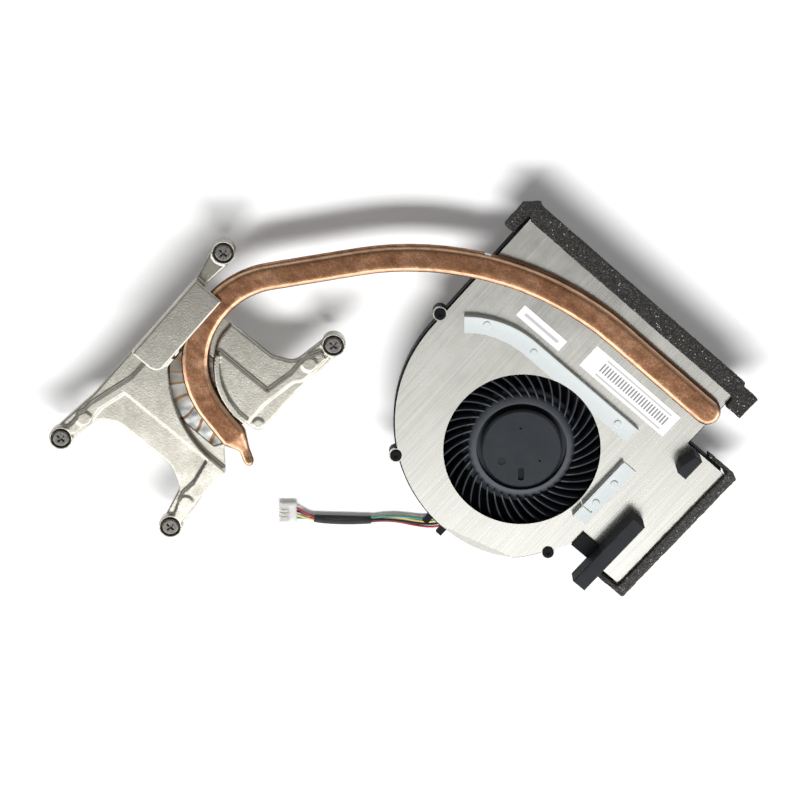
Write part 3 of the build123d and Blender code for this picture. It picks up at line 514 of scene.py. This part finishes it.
def tinned_surface():
    """Soldered copper plate: tin in patches along the pipe's bend, dull by the strap, parted by brown bars."""
    s = Surface("tinned_copper", Metallic=0.95)
    wave = s.grain(3.4, 1, 0.4)
    at = s.place(*BEND_MIDDLE)
    turn = s.math("MULTIPLY", s.math("ARCTAN2", at[1], at[0]), PATCHES_PER_RADIAN)
    wander = s.math("ADD", turn, s.math("MULTIPLY", s.grain(9, 1, offset=2.0), 1.2))
    step = s.math("FRACT", wander)
    seam = s.span(s.math("ABSOLUTE", s.math("SUBTRACT", step, 0.5)), 0.39, 0.43)
    patch = s.math("FLOOR", wander)
    shade = add(s.tree, "ShaderNodeTexWhiteNoise", {"W": patch}, noise_dimensions="1D").outputs["Value"]
    tone = s.weighed((wave, 0.5), (shade, 0.5))
    dull = s.tint(tone, (0.25, (0.16, 0.13, 0.095)), (0.48, (0.29, 0.275, 0.245)), (0.74, (0.43, 0.42, 0.39)))
    bright = s.tint(tone, (0.25, (0.30, 0.29, 0.27)), (0.48, (0.50, 0.51, 0.50)), (0.74, (0.80, 0.81, 0.80)))
    s.set("Base Color", s.mix(seam, s.mix(s.span(turn, *TIN_BRIGHTENS), dull, bright), SEAM_COLOUR))
    s.set("Roughness", s.span(turn, *TIN_BRIGHTENS, 0.40, 0.22))
    s.relief(wave, 0.16)


def impeller_surface():
    """Dark slate plastic: a hub cap with two marks, a paler ring, and blades."""
    s = Surface("impeller_plastic")
    cloud = s.grain(5, 3, offset=5.0)
    hub = s.tint(cloud, (0.3, (0.013, 0.016, 0.020)), (0.7, (0.019, 0.022, 0.027)))
    ring = s.tint(cloud, (0.3, (0.036, 0.040, 0.048)), (0.7, (0.050, 0.055, 0.064)))
    blade = s.tint(cloud, (0.3, (0.030, 0.034, 0.041)), (0.7, (0.044, 0.049, 0.058)))
    radius = s.radius()
    body = s.mix(s.span(radius, *HUB_EDGE), hub, s.mix(s.span(radius, *RING_EDGE), ring, blade))
    round_mark = s.span(s.radius(*ROUND_MARK), 1.05, 0.95)
    at = s.place(*LONG_MARK)
    along = s.weighed((at[0], cos(LONG_MARK_TURN)), (at[1], sin(LONG_MARK_TURN)))
    aside = s.weighed((at[1], cos(LONG_MARK_TURN)), (at[0], -sin(LONG_MARK_TURN)))
    sides = [s.within(value, -half, half) for value, half in zip((along, aside), LONG_MARK_HALF)]
    long_mark = s.math("MULTIPLY", *sides)
    marks = s.math("MULTIPLY", s.math("MAXIMUM", s.math("MULTIPLY", round_mark, 0.5), long_mark), 0.9)
    s.set("Base Color", s.mix(marks, body, MARK_COLOUR))
    rough = s.math("ADD", s.span(radius, *HUB_EDGE, 0.27, 0.46), s.span(radius, *RING_EDGE, 0.0, 0.30))
    s.set("Roughness", s.math("ADD", rough, s.math("MULTIPLY", marks, 0.4)))
    shine = s.span(radius, *HUB_EDGE, 0.32, 0.64)
    s.set("Specular IOR Level", s.math("SUBTRACT", shine, s.span(radius, *RING_GLOSS_EDGE, 0, 0.34)))
    s.relief(s.grain(0.12, 3), 0.006, 0.1)


def label_surface():
    """Paper stickers with plain printed stripes."""
    s = Surface("label", Roughness=0.6)
    fibre = s.grain(0.3, 4, 0.6)
    paper = s.tint(fibre, (0.3, (0.90, 0.90, 0.89)), (0.7, (0.95, 0.95, 0.945)))
    at = s.place()
    bars = s.span(s.math("FRACT", s.math("MULTIPLY", at[0], 1 / BAR_PITCH)), 0.52, 0.60)
    band = s.math("MULTIPLY", s.within(at[0], *STRIPES_X), s.within(at[1], *BARS_Y))
    rules = s.math("ADD", s.within(at[1], *LOW_RULE_Y), s.within(at[1], *HIGH_RULE_Y))
    rules = s.math("MULTIPLY", rules, s.within(at[0], *STRIPES_X))
    rule = s.math("MULTIPLY", s.within(at[0], *SMALL_RULE_X), s.within(at[1], *SMALL_RULE_Y))
    ink = s.weighed((s.math("MULTIPLY", bars, band), 0.85), (s.math("ADD", rules, rule), 0.45))
    s.set("Base Color", s.mix(ink, paper, INK_COLOUR))
    s.relief(fibre, 0.004)


base_surface()
copper_surface()
cast_surface()
foam_surface()
tinned_surface()
impeller_surface()
label_surface()

for entry in frame["record"]["subparts"]:
    mesh = nodes[entry["node"]].data
    mesh.materials.clear()
    mesh.materials.append(surfaces[entry["material_slot"]])
sleeve.data.materials.append(surfaces["sleeve"])
for slot, wire in wire_pieces.items():
    wire.data.materials.append(surfaces[slot])


# Pieces with softer shapes than their solids
SMOOTH_FACTOR = 0.5
INWARD_MEAN = 0.5           # shares of the depth
NOISE_SHARE = 0.35
FINER = 3.1                 # the fine noise is so many times finer
SKIRT_PROFILE = [(13.5, 8.7), (13.95, 8.05), (14.35, 7.55), (14.8, 7.2), (15.5, 6.9), (15.5, 6.4), (13.5, 6.4)]
SKIRT_STEPS = 164


def soft_copy(name, node, voxel, passes):
    """A finely meshed copy of a CAD node with its edges smoothed."""
    made = bpy.data.objects.new(name, nodes[node].data.copy())
    scene.collection.objects.link(made)
    remesh = made.modifiers.new("remesh", "REMESH")
    remesh.mode = "VOXEL"
    remesh.voxel_size = voxel * MM
    smooth = made.modifiers.new("smooth", "SMOOTH")
    smooth.iterations = passes
    smooth.factor = SMOOTH_FACTOR
    shape = made.evaluated_get(bpy.context.evaluated_depsgraph_get())
    fine = bpy.data.meshes.new_from_object(shape)
    made.modifiers.clear()
    made.data = fine
    for polygon in fine.polygons:
        polygon.use_smooth = True
    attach(made, "housing")
    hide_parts(node)
    return made


def roughen(piece, depth, size):
    """Moves each point along its normal by noise of a grain size, inwards apart from a few high spots."""
    mesh = piece.data
    normals = [v.normal.copy() for v in mesh.vertices]
    for vertex, normal in zip(mesh.vertices, normals):
        coarse = noise.noise(vertex.co / (size * MM))
        fine = noise.noise(vertex.co / (size * MM / FINER))
        vertex.co -= normal * (depth * MM * (INWARD_MEAN + NOISE_SHARE * coarse + NOISE_SHARE * fine))
    mesh.update()


def make_skirt():
    """The sloped foot of the hub ring between the blade roots."""
    count = len(SKIRT_PROFILE)
    verts = []
    faces = []
    for step in range(SKIRT_STEPS):
        turn = 2 * pi * step / SKIRT_STEPS
        verts += [(r * MM * cos(turn), r * MM * sin(turn), z * MM) for r, z in SKIRT_PROFILE]
        for k in range(count):
            near, far = step * count, (step + 1) % SKIRT_STEPS * count
            n = (k + 1) % count
            faces.append((near + k, near + n, far + n, far + k))
    return mesh_piece("hub_ring_foot", verts, faces)


skirt = make_skirt()
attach(skirt, "rotor")
skirt.data.materials.append(surfaces["impeller_plastic"])

bracket = soft_copy("bracket_casting", "cpu_bracket", voxel=0.25, passes=1)
pipe = soft_copy("pipe_body", "heat_pipe", voxel=0.28, passes=14)
roughen(pipe, depth=0.10, size=8)
for foam_name, foam_node in (("rear_seal", "rear_foam_seal"), ("side_seal", "side_foam_seal")):
    foam = soft_copy(foam_name, foam_node, voxel=0.32, passes=4)
    roughen(foam, depth=0.3, size=1.6)


# Floor and light
FLOOR_SIZE = 6.0
FLOOR_GREY = 0.88
FLOOR_LIFT = 0.12           # light of its own that the camera sees
KEY_DISTANCE = 1.8
KEY_WIDE = 1.6              # a long strip light across the picture
KEY_TALL = 0.42
KEY_POWER = 42.0
KEY_HEIGHT = radians(60)
AMBIENT = 0.17
# What a mirror sees of the studio, from behind the object to the side of the key light
GLOSS = [
    (-0.74, 0.18), (-0.66, 0.75), (-0.42, 0.75), (-0.34, 0.18), (0.20, 0.16), (0.26, 0.22), (0.29, 0.42),
    (0.315, 1.20), (0.345, 2.40), (0.70, 2.40), (0.90, 1.4),
]

floor = mesh_piece("floor", [(x * FLOOR_SIZE, y * FLOOR_SIZE, 0) for x, y in ((-1, -1), (1, -1), (1, 1), (-1, 1))],
                   [(0, 1, 2, 3)], smooth=False)
floor_paint = bpy.data.materials.new("floor_paint")
floor_paint.use_nodes = True
tree = floor_paint.node_tree
tree.nodes.clear()
seen = add(tree, "ShaderNodeLightPath").outputs["Is Camera Ray"]
matt = add(tree, "ShaderNodeBsdfDiffuse", {"Color": (FLOOR_GREY, FLOOR_GREY, FLOOR_GREY, 1)})
lift = add(tree, "ShaderNodeMath", {0: seen, 1: FLOOR_LIFT}, operation="MULTIPLY")
glow = add(tree, "ShaderNodeEmission", {"Color": (1, 1, 1, 1), "Strength": lift.outputs[0]})
both = add(tree, "ShaderNodeAddShader", {0: matt.outputs[0], 1: glow.outputs[0]})
add(tree, "ShaderNodeOutputMaterial", {"Surface": both.outputs[0]})
floor.data.materials.append(floor_paint)

world = bpy.data.worlds.new("studio")
scene.world = world
world.use_nodes = True
tree = world.node_tree
tree.nodes.clear()
toward = -picture_up
toward.z = 0
toward.normalize()
way = add(tree, "ShaderNodeTexCoord").outputs["Generated"]
lean = add(tree, "ShaderNodeVectorMath", {0: way, 1: toward}, operation="DOT_PRODUCT")
share = add(tree, "ShaderNodeMapRange", {"Value": lean.outputs["Value"], "From Min": -1.0, "From Max": 1.0})
mirror = add(tree, "ShaderNodeValToRGB", {"Fac": share.outputs[0]})
fill_ramp(mirror.color_ramp, [((lean_at + 1) / 2, (light, light, light)) for lean_at, light in GLOSS])
path = add(tree, "ShaderNodeLightPath").outputs
shown = add(tree, "ShaderNodeMath", {0: path["Is Camera Ray"], 1: path["Is Transmission Ray"]}, operation="MAXIMUM")
soft = add(tree, "ShaderNodeMapRange", {"Value": path["Is Glossy Ray"], "To Min": AMBIENT, "To Max": mirror.outputs[0]})
level = add(tree, "ShaderNodeMapRange", {"Value": shown.outputs[0], "To Min": soft.outputs[0], "To Max": 1.0})
sky = add(tree, "ShaderNodeBackground", {"Color": (1, 1, 1, 1), "Strength": level.outputs[0]})
add(tree, "ShaderNodeOutputWorld", {"Surface": sky.outputs[0]})

middle = (cad_box[0] + cad_box[1]) / 2
key_way = toward * cos(KEY_HEIGHT) + Vector((0, 0, sin(KEY_HEIGHT)))
key = bpy.data.objects.new("key_light", bpy.data.lights.new("key_light", "AREA"))
scene.collection.objects.link(key)
key.data.shape = "RECTANGLE"
key.data.size = KEY_WIDE
key.data.size_y = KEY_TALL
key.data.energy = KEY_POWER
key.visible_glossy = False      # mirrors see the panels of the studio instead
key.location = middle + key_way * KEY_DISTANCE
key.rotation_euler = key_way.to_track_quat("Z", "Y").to_euler()

scene.view_settings.view_transform = "Standard"
